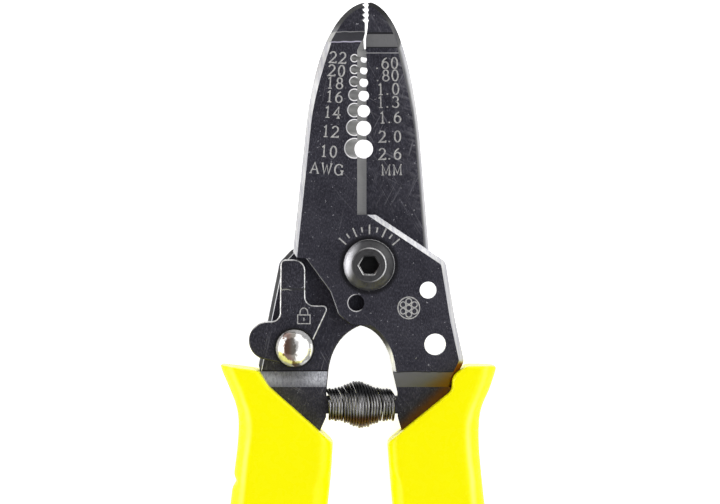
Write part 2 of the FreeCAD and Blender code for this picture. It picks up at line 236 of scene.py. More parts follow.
def black_face(n, side, tone):
    """Black oxide on a flat face: grain, specks and hair scratches."""
    cloud = n.noise(n.mapped(), 0.35, 4.0, 0.6)
    grain = n.noise(n.mapped((1.5, 0.7, 1)), 3.4, 3.0, 0.75)
    speck = n.noise(n.mapped(), 2.4, 2.0, 0.5)
    deep = rgb(0.036 * tone, 0.035 * tone, 0.050 * tone)
    pale = rgb(0.060 * tone, 0.059 * tone, 0.078 * tone)
    colour = n.mix(cloud, deep, pale)
    colour = n.mix(n.band(grain, 0.42, 0.72, 0.0, 0.62), colour, rgb(0.15, 0.15, 0.19))
    colour = n.mix(n.band(speck, 0.70, 0.76, 0.0, 0.7), colour, rgb(0.55, 0.55, 0.6))
    # Each run of scratches: its direction, its seed and the size of its patches
    if side == "rear":
        strength = 0.20
        runs = ((62, 3.1, 0.2), (-30, 8.7, 0.2), (120, 15.3, 0.26), (75, 23.3, 0.3))
    else:
        strength = 0.09
        runs = ((78, 3.1, 0.13), (-48, 8.7, 0.1))
    for turn, seed, spread in runs:
        colour = n.mix(n.times(scratches(n, turn, seed, spread), strength), colour, rgb(0.6, 0.6, 0.66))
    n.link(n.band(cloud, 0.3, 0.7, 0.36, 0.46), n.shader.inputs["Roughness"])
    n.link(n.bump(n.plus(grain, n.times(speck, 0.4)), 0.25, FINE), n.shader.inputs["Normal"])
    return colour, cloud


def rear_wear(n, colour, x, y):
    """A rubbed haze along the rear blade's outer side, and pale dots above the front plate's corner."""
    rubbed = n.noise(n.mapped((1.0, 0.18, 1), 68), 1.6, 4.0, 0.7)
    reach = n.band(n.plus(x, n.times(y, 0.16)), 7.0, 12.2)
    haze = n.times(reach, n.band(rubbed, 0.42, 0.72))
    haze = n.times(haze, n.band(y, 5.0, 12.0))
    colour = n.mix(n.times(haze, 0.5), colour, rgb(0.42, 0.42, 0.46))
    where = n.times(between(n, y, 7.5, 13.0, 2.0), n.band(x, 3.0, 8.0))
    dots = n.times(n.band(n.cells(n.mapped(), 1.1), 0.10, 0.22, 1.0, 0.0), where)
    return n.mix(n.times(dots, 0.6), colour, rgb(0.6, 0.6, 0.62))


def front_wear_and_light(n, colour, x, y, up, cloud):
    """On the front plate: a painted shadow ring about the screw, notch rims rubbed bare and painted as a
    white highlight, a painted highlight on the blind hole's rim, and a painted brown reflection of the
    grip beside its mouth.

    Returns the colour and how white each place is painted as a highlight.
    """
    # A painted shadow: a dark ring about the screw head
    ring = between(n, n.radius(PIVOT), 3.0, 4.75, 0.35)
    colour = n.mix(n.times(ring, 0.8), colour, rgb(0.008, 0.008, 0.010))
    # Round the notches, rubbed bare and painted as a white highlight, whitest above and below
    face = n.band(up, *FLAT)
    white = 0.0
    for wire, row in WIRES:
        reach = wire / 2 + 0.27
        edge = between(n, n.radius(at(NOTCH_ON_FACE, row)), reach - 0.1, reach + 0.1, 0.03)
        edge = n.times(edge, face)
        rise = n.math("ABSOLUTE", n.math("SUBTRACT", y, row))
        ends = n.band(rise, reach * 0.5, reach * 0.9, 0.0, 0.6)
        colour = n.mix(edge, colour, RUBBED_AND_HIGHLIT)
        white = n.plus(white, n.times(edge, ends))
    # A painted highlight: a bright crescent on the rim left of the blind hole
    rim = between(n, n.radius(at(*BLIND_HOLE)), 1.27, 1.44, 0.04)
    left = n.band(n.plus(x, n.times(y, 0.3)), -4.2, -3.0, 1.0, 0.0)
    colour = n.mix(n.times(n.times(rim, face), left), colour, rgb(0.9, 0.9, 0.92))
    # A painted brown reflection of the yellow grip beside the grip's mouth
    along = n.math("SUBTRACT", n.times(x, 0.667), n.times(y, 0.745))
    grip_reflection = n.times(n.band(along, 21.6, 23.6), n.band(y, -20.0, -19.2, 1.0, 0.0))
    grip_reflection = n.times(grip_reflection, n.band(cloud, 0.3, 0.55, 0.55, 1.0))
    return n.mix(grip_reflection, colour, rgb(0.17, 0.065, 0.012)), white


def joggles(n, colour, side, x, y, up, sideways):
    """Painted light and shade on the joggles' slopes, and on the plates painted highlight and shade lines
    along their bends.
    """
    mottle = n.noise(n.mapped((2.2, 0.8, 1)), 1.6, 3.0, 0.8)
    # Each bend's painted highlight or shade line: its place along Y, half its width and its colour
    line_y, bends = y, ()
    if side == "rear":
        # On the rear handle's slope a painted mottled highlight, painted darker towards its lower end
        lit = n.times(n.band(mottle, 0.3, 0.7), n.band(x, -13.5, -7.0, 0.45, 1.0))
        handle = n.mix(lit, rgb(0.30, 0.31, 0.36), rgb(0.88, 0.90, 0.96))
        handle = n.mix(n.band(y, -19.8, -18.4, 0.6, 0.0), handle, rgb(0.07, 0.07, 0.08))
        nose = n.mix(mottle, rgb(0.11, 0.11, 0.115), rgb(0.15, 0.15, 0.155))
        bends = ((35.25, 0.10, rgb(0.035, 0.035, 0.04)), (37.45, 0.16, rgb(0.03, 0.03, 0.035)),
                 (34.35, 0.05, rgb(0.75, 0.75, 0.78)), (-17.15, 0.10, rgb(0.015, 0.015, 0.018)))
    else:
        # On the front handle's slope a painted brown reflection of the yellow grip
        handle_grip_reflection = n.band(n.plus(x, n.times(y, -1.2)), 31.0, 37.0)
        handle_grip_reflection = n.times(handle_grip_reflection, n.band(mottle, 0.1, 0.5))
        handle = n.mix(handle_grip_reflection, rgb(0.11, 0.11, 0.115), rgb(0.22, 0.10, 0.012))
        nose = n.mix(mottle, rgb(0.022, 0.022, 0.027), rgb(0.035, 0.035, 0.042))
    if side == "front":
        line_y = n.plus(y, n.times(n.noise(n.mapped((1, 0.1, 0.1)), 0.5, 2.0), 0.5))
        bends = ((37.93, 0.05, rgb(0.35, 0.35, 0.36)), (36.20, 0.09, rgb(0.62, 0.6, 0.74)),
                 (-16.97, 0.08, rgb(0.03, 0.03, 0.03)))
    slope = n.times(between(n, up, *SLOPED, 0.015), n.rest(sideways))
    low_part = n.band(y, -10.0, -9.0, 1.0, 0.0)
    colour = n.mix(n.times(slope, n.rest(low_part)), colour, nose)
    colour = n.mix(n.times(slope, low_part), colour, handle)
    for place, half, tint in bends:
        line = between(n, line_y, place - half, place + half, 0.05)
        colour = n.mix(n.times(line, n.band(up, 0.7, 0.78)), colour, tint)
    return colour


def lever_line(n, colour, x, y):
    """A faint wavy pale line across the lever's arm."""
    wander = n.times(n.noise(n.mapped((1, 0.1, 0.1)), 0.8, 2.0), 0.7)
    line = between(n, n.plus(y, wander), -3.72, -3.60, 0.05)
    line = n.times(line, n.band(x, -13.0, -12.2, 1.0, 0.0))
    return n.mix(n.times(line, 0.7), colour, rgb(0.5, 0.5, 0.5))


def chamfer_light(n, side, x, y, z):
    """The painted light on the rubbed chamfers: how bright each place is, dimmer towards the nose and
    behind the lock lever.
    """
    if side == "rear":
        # On the rear, brightness painted across the chamfer's depth, with bright lines along its two
        # edges
        lit_across_depth = n.band(z, REAR_TOP - 0.55, REAR_TOP - 0.10, 0.42, 0.085)
        lower_line = n.band(z, REAR_TOP - 0.72, REAR_TOP - 0.66, 0.5, 0.0)
        upper_line = n.band(z, REAR_TOP - 0.16, REAR_TOP - 0.08, 0.0, 0.4)
        behind = n.plus(n.plus(lower_line, upper_line), 0.04)
        right = n.band(x, -9.0, -7.0)
        side_light = n.plus(n.times(right, lit_across_depth), n.times(n.rest(right), behind))
        return n.times(n.band(y, 38.0, 41.0, 1.0, 0.12), side_light)
    bright = n.band(y, 36.0, 39.5, 1.0, 0.12)
    bright = n.times(bright, n.band(n.math("SUBTRACT", x, y), -12.0, -7.0, 0.34, 0.66))
    low_left = n.times(n.band(x, -1.4, -0.2, 1.0, 0.0), n.band(y, 0.6, 1.2, 1.0, 0.0))
    bright = n.times(bright, n.rest(n.times(low_left, 0.72)))
    low_right = n.times(n.band(x, 8.0, 9.5), n.band(y, -1.0, 2.5, 1.0, 0.0))
    bright = n.times(bright, n.rest(n.times(low_right, 0.35)))
    in_eye = n.times(n.band(x, 4.4, 5.2, 1.0, 0.0), n.band(y, -9.0, -8.0, 1.0, 0.0))
    arch = n.band(y, -14.6, -12.2, 1.25, 0.12)
    return n.times(bright, n.plus(n.times(in_eye, n.math("SUBTRACT", arch, 1.0)), 1.0))


def bevel_wear_and_light(n, colour, x, y, bare, bevel, white):
    """On the front plate's bare steel: a painted brown reflection of the grip at the handle's corner, and
    the notches' edges below rubbed bare and painted white as a highlight.
    """
    # A painted brown reflection of the yellow grip at the handle's corner
    corner_grip_reflection = n.times(n.band(x, 11.5, 12.5), n.band(y, -16.1, -15.4, 1.0, 0.0))
    colour = n.mix(n.times(corner_grip_reflection, bare), colour, rgb(0.25, 0.085, 0.012))
    # Below the notches on the bevel, rubbed bare and painted white as a highlight
    for wire, row in WIRES:
        reach = wire / 2 + 0.15
        edge = between(n, n.radius(at(NOTCH_ON_BEVEL, row)), reach - 0.15, reach + 0.15, 0.03)
        below = n.band(n.math("SUBTRACT", row, y), reach * 0.35, reach * 0.75)
        edge = n.times(n.times(edge, below), bevel)
        colour = n.mix(edge, colour, RUBBED_AND_HIGHLIT)
        white = n.plus(white, n.times(edge, 0.8))
    return colour, white


def black_steel(name, side, tone=1.0):
    """A black plate or lever: dark faces, chamfers rubbed bare and painted with light and shade, and bare
    ground bevels.
    """
    n = Nodes(name)
    across, up = n.facing()
    x, y, z = n.from_pivot()
    sideways = n.band(n.math("ABSOLUTE", across), 0.12, 0.2)
    colour, cloud = black_face(n, side, tone)
    white = 0.0
    if side == "rear":
        colour = rear_wear(n, colour, x, y)
    if side == "front":
        colour, white = front_wear_and_light(n, colour, x, y, up, cloud)
    colour = joggles(n, colour, side, x, y, up, sideways)
    if side == "lever":
        colour = lever_line(n, colour, x, y)

    streak = n.noise(n.mapped((3.2, 0.12, 1), 6), 1.0, 3.0, 0.6)
    base = n.mix(n.band(streak, 0.35, 0.65), rgb(0.74, 0.74, 0.80), rgb(1.0, 1.0, 1.0))
    # The chamfers' colour: rubbed bare steel, scaled by its painted light
    worn_and_lit = n.add("ShaderNodeVectorMath", operation="SCALE")
    n.link(base, worn_and_lit.inputs[0])
    n.link(chamfer_light(n, side, x, y, z), worn_and_lit.inputs["Scale"])
    ground = n.noise(n.mapped((0.7, 9, 1)), 1.0, 3.0, 0.6)
    steel = n.mix(ground, rgb(0.25, 0.25, 0.24), rgb(0.36, 0.36, 0.355))
    curved = n.times(between(n, up, *CURVED, 0.01), sideways)
    chamfer = n.math("MAXIMUM", between(n, up, *CHAMFERED, 0.01), curved)
    bevel = between(n, up, *GROUND, 0.03)
    back_bevel = between(n, n.times(up, -1.0), *GROUND, 0.03)
    either = n.math("MAXIMUM", bevel, back_bevel)
    colour = n.mix(chamfer, colour, worn_and_lit.outputs[0])
    colour = n.mix(either, colour, steel)
    bare = n.math("MAXIMUM", chamfer, either, True)
    if side == "front":
        colour, white = bevel_wear_and_light(n, colour, x, y, bare, bevel, white)
    n.link(colour, n.shader.inputs["Base Color"])
    metal = n.plus(n.times(bare, 0.25), 0.65)
    # Less metallic where the notch rims are painted white as a highlight, so they show brighter
    n.link(n.math("SUBTRACT", metal, white), n.shader.inputs["Metallic"])
    return n.material


def bright_edge(name, low=0.35, high=0.75, shine=None):
    """Metal rubbed bare along an edge. shine gives, from the nodes, how much of each place shows the
    edge's painted highlight; the rest is painted dark.
    """
    n = Nodes(name)
    patch = n.noise(n.mapped(), 1.2, 3.0, 0.6)
    colour = n.mix(n.band(patch, 0.35, 0.65), rgb(low, low, low), rgb(high, high, high))
    if shine:
        colour = n.mix(shine(n), rgb(0.03, 0.03, 0.035), colour)
    n.link(colour, n.shader.inputs["Base Color"])
    n.shader.inputs["Metallic"].default_value = 0.8
    n.link(n.band(patch, 0.3, 0.7, 0.3, 0.45), n.shader.inputs["Roughness"])
    n.link(n.bump(patch, 0.2, FINE), n.shader.inputs["Normal"])
    return n.material


def head_light(n, colour):
    """The screw head's light: its flank bright on the left and dim on the right, its socket dark."""
    x, y, _ = n.from_pivot()
    flank = n.band(n.radius(PIVOT), 2.5, 2.8)
    level = n.plus(x, n.times(y, -0.25))
    left = n.times(flank, n.band(level, -3.6, -1.9, 1.0, 0.0))
    right = n.times(flank, n.band(n.plus(x, n.times(y, 0.6)), 0.5, 3.5))
    colour = n.mix(n.times(right, 0.65), colour, rgb(0.03, 0.03, 0.03))
    colour = n.mix(n.band(n.radius(PIVOT), 1.3, 1.75, 0.8, 0.0), colour, rgb(0.004, 0.004, 0.004))
    return n.mix(n.times(left, 0.85), colour, rgb(0.85, 0.85, 0.88))


def screw_shine(n):
    """The head's ring shines to the upper right and the socket's rim to the lower left."""
    x, y, _ = n.from_pivot()
    ring = n.band(n.plus(x, n.times(y, 0.5)), -1.6, 1.8, 0.12, 1.0)
    rim = n.band(n.plus(x, y), -0.6, 0.6, 1.0, 0.08)
    return n.mix(n.band(n.radius(PIVOT), 1.9, 2.3), n.grey(rim), n.grey(ring))


def lever_shine(n):
    """The lever's edges carry a painted highlight along the arm and tab, and hardly any at the lobe and
    the lower side.
    """
    x, y, _ = n.from_pivot()
    lobe = n.times(n.band(x, -15.2, -13.6, 1.0, 0.0), n.band(y, -10.6, -9.6, 1.0, 0.0))
    low = n.band(y, -15.4, -14.0, 1.0, 0.0)
    return n.grey(n.rest(n.times(n.math("MAXIMUM", lobe, low), 0.92)))


def turned_steel(name, axis, dark, light, ring=9.0, rough=0.34, extra=None):
    """Lathe-turned steel with rings about a vertical axis."""
    n = Nodes(name)
    rings = n.noise(n.ring_vector(axis), ring, 4.0, 0.7)
    spots = n.noise(n.mapped(), 0.9, 3.0, 0.6)
    colour = n.mix(rings, rgb(*dark), rgb(*light))
    colour = n.mix(n.band(spots, 0.45, 0.75, 0.0, 0.35), colour, rgb(*[c * 0.5 for c in dark]))
    if extra:
        colour = extra(n, colour)
    n.link(colour, n.shader.inputs["Base Color"])
    n.shader.inputs["Metallic"].default_value = 1.0
    n.link(n.band(rings, 0.3, 0.7, rough - 0.06, rough + 0.08), n.shader.inputs["Roughness"])
    n.link(n.bump(rings, 0.5, 0.00003), n.shader.inputs["Normal"])
    return n.material


def chrome(name):
    """A polished dome with a painted brown reflection in a ragged band that runs down it left of its
    middle.
    """
    n = Nodes(name)
    cloud = n.noise(n.mapped(), 0.6, 3.0, 0.6)
    pit = n.noise(n.mapped(), 4.0, 2.0, 0.5)
    ragged = n.noise(n.mapped((1, 0.6, 1)), 1.1, 4.0, 0.65)
    colour = n.mix(n.band(cloud, 0.4, 0.7), rgb(0.97, 0.97, 0.96), rgb(0.90, 0.89, 0.87))
    node = n.add("ShaderNodeSeparateXYZ")
    n.link(n.mapped((1, 1, 1), 0, (-RIVET.x / MM, -RIVET.y / MM, 0)), node.inputs[0])
    x, y = node.outputs[0], node.outputs[1]
    # The painted brown reflection: a ragged band, browner to the left
    middle = n.band(y, -2.9, -0.9, 0.35, -0.75)
    half = n.band(y, -1.9, -0.9, 0.55, 1.05)
    wander = n.times(n.math("SUBTRACT", ragged, 0.5), 2.6)
    away = n.math("ABSOLUTE", n.plus(n.math("SUBTRACT", x, middle), wander))
    brown_reflection = n.band(n.math("SUBTRACT", away, half), -0.22, 0.16, 1.0, 0.0)
    brown_reflection = n.times(brown_reflection, n.band(y, 2.3, 2.9, 1.0, 0.2))
    across = n.band(n.math("SUBTRACT", x, middle), -0.3, 0.7)
    brown = n.mix(across, rgb(0.12, 0.055, 0.035), rgb(0.20, 0.18, 0.155))
    colour = n.mix(n.times(brown_reflection, 0.93), colour, brown)
    n.link(colour, n.shader.inputs["Base Color"])
    n.shader.inputs["Metallic"].default_value = 0.6
    n.link(n.band(pit, 0.45, 0.75, 0.06, 0.16), n.shader.inputs["Roughness"])
    n.link(n.bump(cloud, 0.25, 0.00012), n.shader.inputs["Normal"])
    return n.material


def spring_steel(name):
    """Dark drawn wire with a painted highlight along the coil's middle, painted shade towards +Y and
    brownish towards −Y.
    """
    n = Nodes(name)
    _, y, _ = n.from_pivot()
    drawn = n.noise(n.mapped((2.2, 0.35, 0.35)), 1.0, 2.0, 0.5)
    colour = n.mix(drawn, rgb(0.02, 0.02, 0.02), rgb(0.08, 0.08, 0.08))
    # A painted highlight along the coil's middle
    lit = n.times(between(n, y, -24.0, -20.9, 0.7), n.band(drawn, 0.35, 0.62, 0.25, 1.0))
    colour = n.mix(lit, colour, rgb(0.32, 0.32, 0.33))
    # Brownish towards −Y
    brownish_side = n.times(n.band(y, -25.0, -23.6, 1.0, 0.0), n.band(drawn, 0.2, 0.5, 0.5, 1.0))
    colour = n.mix(brownish_side, colour, rgb(0.055, 0.024, 0.013))
    # Painted shade towards +Y
    colour = n.mix(n.band(y, -21.8, -20.4), colour, rgb(0.014, 0.014, 0.016))
    n.link(colour, n.shader.inputs["Base Color"])
    n.shader.inputs["Metallic"].default_value = 0.9
    n.link(n.band(drawn, 0.3, 0.7, 0.2, 0.3), n.shader.inputs["Roughness"])
    n.link(n.bump(drawn, 0.15, FINE), n.shader.inputs["Normal"])
    return n.material


def vinyl(name):
    """Glossy yellow vinyl with a faint orange-peel skin and a painted highlight line along each shoulder.
    """
    n = Nodes(name)
    peel = n.noise(n.mapped(), 0.9, 2.0, 0.5)
    wave = n.noise(n.mapped(), 0.12, 2.0, 0.5)
    colour = n.mix(wave, rgb(1.0, 0.93, 0.001), rgb(1.0, 0.98, 0.001))
    shoulder = n.add("ShaderNodeAttribute", attribute_name="shoulder").outputs["Fac"]
    line = between(n, n.plus(shoulder, n.times(wave, 0.8)), 1.9, 2.5, 0.38)
    x, y, _ = n.from_pivot()
    inner = n.band(n.math("ABSOLUTE", n.plus(x, 0.9)), 12.0, 13.0, 1.0, 0.0)
    faint = n.times(inner, n.band(y, -52.0, -38.0, 0.3, 1.0))
    line = n.times(line, n.rest(faint))
    line = n.times(line, n.band(y, -26.0, -20.0, 0.9, 0.35))
    colour = n.mix(n.times(line, n.band(wave, 0.3, 0.6, 0.6, 1.0)), colour, rgb(1.0, 1.0, 0.15))
    n.link(colour, n.shader.inputs["Base Color"])
    n.link(n.band(peel, 0.3, 0.7, 0.24, 0.30), n.shader.inputs["Roughness"])
    n.shader.inputs["Specular IOR Level"].default_value = 0.14
    height = n.plus(n.times(peel, 0.3), wave)
    n.link(n.bump(height, 0.2, 0.0003), n.shader.inputs["Normal"])
    return n.material


def etched(name):
    """The light grey of laser marking."""
    n = Nodes(name)
    patch = n.noise(n.mapped(), 3.0, 2.0, 0.5)
    colour = n.mix(n.band(patch, 0.3, 0.7), rgb(0.30, 0.30, 0.31), rgb(0.52, 0.52, 0.50))
    n.link(colour, n.shader.inputs["Base Color"])
    n.shader.inputs["Roughness"].default_value = 0.6
    n.link(n.bump(patch, 0.2, FINE), n.shader.inputs["Normal"])
    return n.material


def pale_floor(name):
    """A lit white table, as under a cut-out product picture."""
    n = Nodes(name)
    cloud = n.noise(n.mapped(), 0.02, 2.0, 0.5)
    n.link(n.mix(cloud, rgb(0.93, 0.93, 0.93), rgb(0.95, 0.95, 0.95)), n.shader.inputs["Base Color"])
    n.shader.inputs["Roughness"].default_value = 0.8
    n.shader.inputs["Specular IOR Level"].default_value = 0.1
    n.shader.inputs["Emission Color"].default_value = (1, 1, 1, 1)
    n.shader.inputs["Emission Strength"].default_value = 0.9
    return n.material


EDGE = bright_edge("bare_edge")
SCREW_EDGE = bright_edge("screw_edge", 0.6, 0.9, screw_shine)
LEVER_EDGE = bright_edge("lever_edge", 0.4, 0.8, lever_shine)


def paint(node, material, width=0.0, angle=60.0, edge=EDGE):
    """A CAD piece's material, and rounded edges of the given width in mm in the edge material."""
    obj = NODES[node]
    obj.data.materials.clear()
    obj.data.materials.append(material)
    if width:
        obj.data.materials.append(edge)
        obj.modifiers.new("weld", "WELD").merge_threshold = 1e-6
        flat = obj.modifiers.new("flat_faces", "DECIMATE")
        flat.decimate_type = "DISSOLVE"
        flat.angle_limit = math.radians(0.3)
        bevel = obj.modifiers.new("edges", "BEVEL")
        bevel.width = width * MM
        bevel.segments = 2
        bevel.limit_method = "ANGLE"
        bevel.angle_limit = math.radians(angle)
        bevel.material = 1
        bevel.harden_normals = True
        bevel.use_clamp_overlap = False


paint("front_plate", black_steel("front_black", "front", 0.84))
paint("rear_plate", black_steel("rear_black", "rear", 0.88))
paint("lock_lever", black_steel("lever_black", "lever", 0.7), 0.22, 40.0, LEVER_EDGE)
paint("pivot_screw", turned_steel("screw_turned", PIVOT, (0.05, 0.05, 0.05), (0.26, 0.26, 0.27), 12.0,
                                  extra=head_light), 0.12, 30.0, SCREW_EDGE)
paint("pivot_washer", turned_steel("washer_turned", PIVOT, (0.2, 0.2, 0.2), (0.4, 0.4, 0.4)))
paint("pivot_nut", turned_steel("nut_turned", PIVOT, (0.18, 0.18, 0.18), (0.36, 0.36, 0.36)),
      0.08, 30.0)
paint("lock_rivet", chrome("rivet_chrome"))
paint("lock_washer", turned_steel("lock_washer_turned", RIVET, (0.03, 0.03, 0.03), (0.08, 0.08, 0.08)))


# ---- pieces --------------------------------------------------------------------------------------
def new_object(name, mesh, material, body=None):
    """A mesh as an object in the scene, riding the body if there is one."""
    obj = bpy.data.objects.new(name, mesh)
    bpy.context.scene.collection.objects.link(obj)
    obj.data.materials.append(material)
    if body:
        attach(obj, body)
    return obj


def bake(obj, *modifiers):
    """Applies these modifiers to the object's mesh; each is a kind and its settings."""
    for kind, settings in modifiers:
        modifier = obj.modifiers.new(kind, kind)
        for key, value in settings.items():
            setattr(modifier, key, value)
    depsgraph = bpy.context.evaluated_depsgraph_get()
    depsgraph.update()
    mesh = bpy.data.meshes.new_from_object(obj.evaluated_get(depsgraph))
    obj.modifiers.clear()
    obj.data = mesh


def smooth(value, low, high):
    """A smooth step from nothing at low to one at high."""
    t = min(max((value - low) / (high - low), 0.0), 1.0)
    return t * t * (3 - 2 * t)


VOXEL = 0.34 * MM                     # of the grips' remeshed skin
ROW = 1.0 * MM                        # spacing of the rows in which a grip's width is measured
UPPER_WALL = (1.8 * MM, 3.0 * MM)     # the part of the side wall that gives the width, above the middle
BELOW = 9.0                           # the "shoulder" value where there is no shoulder
SHOULDER = (0.4, 2.9)                 # the slope's two ends, mm in from the side wall
SHOULDER_DROP = 0.11                  # share of the height lost at the side wall


def grip(node, body, material, dents=()):
    """A moulded sleeve: the CAD's grip with soft edges, sloped shoulders and dents.

    A dent is its place x, y, its reach and how far it moves the wall along X, mm.
    """
    mesh = NODES[node].data.copy()
    mesh.materials.clear()
    obj = bpy.data.objects.new(node + "_sleeve", mesh)
    bpy.context.scene.collection.objects.link(obj)
    bake(obj, ("REMESH", {"mode": "VOXEL", "voxel_size": VOXEL}))
    middle = centre(node).z
    left_hand = centre(node).x < PIVOT.x
    rows = {}
    for v in obj.data.vertices:
        if UPPER_WALL[0] < v.co.z - middle < UPPER_WALL[1]:
            key = round(v.co.y / ROW)
            low, high = rows.get(key, (1.0, -1.0))
            rows[key] = (min(low, v.co.x), max(high, v.co.x))
    shoulder = obj.data.attributes.new("shoulder", "FLOAT", "POINT")
    for i, v in enumerate(obj.data.vertices):
        below = math.floor(v.co.y / ROW)
        part = v.co.y / ROW - below
        ends = [rows[key] for key in (below, below + 1) if key in rows]
        shoulder.data[i].value = BELOW
        if ends:
            left, right = [a + (b - a) * part for a, b in zip(ends[0], ends[-1])]
            sides = [v.co.x - left, right - v.co.x]
            outer, inner = sides if left_hand else reversed(sides)
            # Towards the mouth the inner side has no shoulder
            inside = min(outer, inner + 3 * MM * smooth(v.co.y, at(0, -36).y, at(0, -31).y)) / MM
            shoulder.data[i].value = inside if v.co.z > middle else BELOW
            v.co.z -= (v.co.z - middle) * SHOULDER_DROP * (1 - smooth(inside, *SHOULDER))
        for x, y, reach, depth in dents:
            away = math.hypot(v.co.x - at(x, y).x, (v.co.y - at(x, y).y)) / MM
            v.co.x += depth * MM * (1 - smooth(away, 0.0, reach))
    bake(obj, ("SMOOTH", {"factor": 0.5, "iterations": 5}))
    obj.data.materials.append(material)
    for polygon in obj.data.polygons:
        polygon.use_smooth = True
    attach(obj, body)
    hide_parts(node)


yellow = vinyl("yellow_vinyl")
grip("left_grip", "rear_half", yellow, ((-21.9, -34.7, 1.1, 0.5),))
grip("right_grip", "front_half", yellow, ((14.4, -18.5, 3.0, -0.7),))


def coil(name, material):
    """The return spring as its wire: barrelled, a little uneven, and leaning."""
    low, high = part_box("return_spring")
    middle = (low + high) / 2
    turns, around, sides = 22, 40, 10
    wire = 0.23 * MM                  # half the wire's thickness
    end_radius, swelling = 2.36, 1.25
    first_angle = 1.2
    hump = at(-1.25, 0).x
    steps = turns * around
    pitch = []
    for i in range(turns):
        loose = 1.14 if i in (4, 17) else 1.0
        pitch.append(loose * random.uniform(0.92, 1.08))
    total = sum(pitch)
    starts = [sum(pitch[:i]) / total for i in range(turns + 1)]
    length = high.x - low.x - 2.4 * wire
    path = []
    for i in range(steps + 1):
        turn = i / around
        k = min(int(turn), turns - 1)
        along = starts[k] + (turn - k) * (starts[k + 1] - starts[k])
        x = low.x + 1.2 * wire + length * along
        swell = math.exp(-((x - hump) / (2.4 * MM)) ** 2)
        radius = (end_radius + swelling * swell) * MM
        angle = 2 * math.pi * turn + first_angle
        above = math.cos(angle)
        lean = (-0.75 * max(above, 0.0) ** 2 + 0.18 * (1 - above * above)) * MM
        rise = 0.16 * math.sin(math.pi * turn) ** 2 * math.sin(k * 2.3) * MM
        path.append(Vector((x + lean, middle.y + radius * above + rise,
                            middle.z + radius * math.sin(angle))))
    mesh = bpy.data.meshes.new(name)
    bm = bmesh.new()
    rings = []
    for i, p in enumerate(path):
        tangent = (path[min(i + 1, steps)] - path[max(i - 1, 0)]).normalized()
        out = (p - Vector((p.x, middle.y, middle.z))).normalized()
        out = (out - tangent * out.dot(tangent)).normalized()
        side = tangent.cross(out)
        rings.append([bm.verts.new(p + wire * (out * math.cos(a) + side * math.sin(a)))
                      for a in [2 * math.pi * s / sides for s in range(sides)]])
    for a, b in zip(rings, rings[1:]):
        for s in range(sides):
            bm.faces.new((a[s], a[(s + 1) % sides], b[(s + 1) % sides], b[s]))
    bm.faces.new(list(reversed(rings[0])))
    bm.faces.new(rings[-1])
    bmesh.ops.recalc_face_normals(bm, faces=bm.faces)
    bm.to_mesh(mesh)
    bm.free()
    for polygon in mesh.polygons:
        polygon.use_smooth = True
    obj = new_object(name, mesh, material)
    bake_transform(obj)
    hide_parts("return_spring")


coil("return_spring_wire", spring_steel("spring_dark"))


# ---- marks ---------------------------------------------------------------------------------------
def arc(cx, cy, rx, ry, start, end, parts=14):
    """Points on an ellipse's arc from start to end, in degrees."""
    angles = [math.radians(start + (end - start) * i / parts) for i in range(parts + 1)]
    return [(cx + rx * math.cos(angle), cy + ry * math.sin(angle)) for angle in angles]


# Strokes of each sign in a box one high, and the sign's width
SIGNS = {
    "0": ([arc(0.32, 0.5, 0.26, 0.5, 0, 360, 24)], 0.64),
    "1": ([[(0.16, 0.84), (0.34, 1.0), (0.34, 0.0)], [(0.16, 0.0), (0.52, 0.0)]], 0.64),
    "2": ([arc(0.30, 0.72, 0.26, 0.28, 165, -35) + [(0.03, 0.02), (0.60, 0.02), (0.62, 0.16)]], 0.64),
    "3": ([arc(0.29, 0.76, 0.24, 0.24, 160, -90) + arc(0.29, 0.26, 0.29, 0.26, 90, -160)], 0.64),
    "4": ([[(0.44, 0.0), (0.44, 1.0), (0.0, 0.30), (0.64, 0.30)], [(0.30, 0.0), (0.58, 0.0)]], 0.64),
    "6": ([arc(0.32, 0.31, 0.27, 0.31, 0, 360, 20), arc(0.62, 0.36, 0.57, 0.64, 180, 105)], 0.64),
    "8": ([arc(0.32, 0.75, 0.21, 0.25, 0, 360, 18), arc(0.32, 0.26, 0.27, 0.26, 0, 360, 20)], 0.64),
    ".": ([[(0.10, -0.01), (0.10, 0.11)]], 0.34),
    "A": ([[(0.05, 0.0), (0.40, 1.0), (0.75, 0.0)], [(0.18, 0.34), (0.62, 0.34)],
           [(-0.06, 0.0), (0.16, 0.0)], [(0.62, 0.0), (0.86, 0.0)]], 0.84),
    "W": ([[(0.06, 1.0), (0.26, 0.0), (0.48, 0.86), (0.70, 0.0), (0.90, 1.0)],
           [(-0.04, 1.0), (0.18, 1.0)], [(0.78, 1.0), (1.0, 1.0)]], 1.0),
    "G": ([arc(0.42, 0.5, 0.38, 0.5, 50, 320, 22), [(0.74, 0.40), (0.74, 0.02)],
           [(0.56, 0.42), (0.88, 0.42)], [(0.70, 0.98), (0.70, 0.74)]], 0.88),
    "M": ([[(0.12, 0.0), (0.12, 1.0), (0.45, 0.14), (0.78, 1.0), (0.78, 0.0)],
           [(0.0, 0.0), (0.24, 0.0)], [(0.66, 0.0), (0.90, 0.0)],
           [(0.0, 1.0), (0.14, 1.0)], [(0.76, 1.0), (0.90, 1.0)]], 0.92),
}


LIFT = 0.012          # of the marks above the face, mm
LAYER = 0.003         # between strokes that cross


